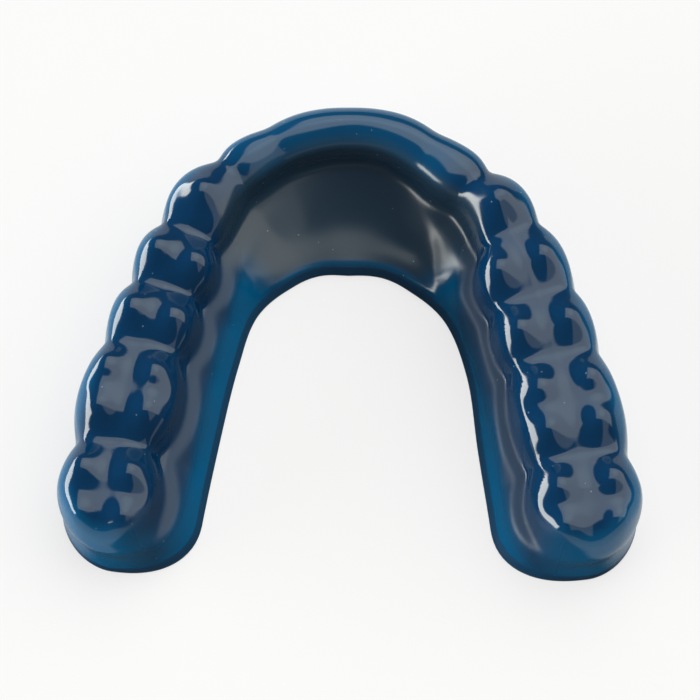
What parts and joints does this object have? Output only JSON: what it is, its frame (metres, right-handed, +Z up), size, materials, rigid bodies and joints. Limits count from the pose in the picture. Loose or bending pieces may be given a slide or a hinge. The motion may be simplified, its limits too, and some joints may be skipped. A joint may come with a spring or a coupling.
{
  "type": "mouthguard",
  "caption": "Custom-fitted mouthguard: a glossy, deep blue plastic sheet formed over an upper arch, with a bump for each tooth, a palatal flange and a trimmed edge",
  "frame": {"origin": "middle of the bounding box seen from above, on the surface that the trimmed edge rests on", "axes": "+X across the arch, +Y towards the incisors at the front, +Z up, out of the biting surface"},
  "size_m": [0.0634, 0.0528, 0.0134],
  "materials": {
    "translucent_blue_sheet": "glossy, deep blue, slightly translucent soft plastic, darker where it is thick"
  },
  "bodies": {
    "root": {"mouthguard": "translucent_blue_sheet"}
  },
  "joints": []
}
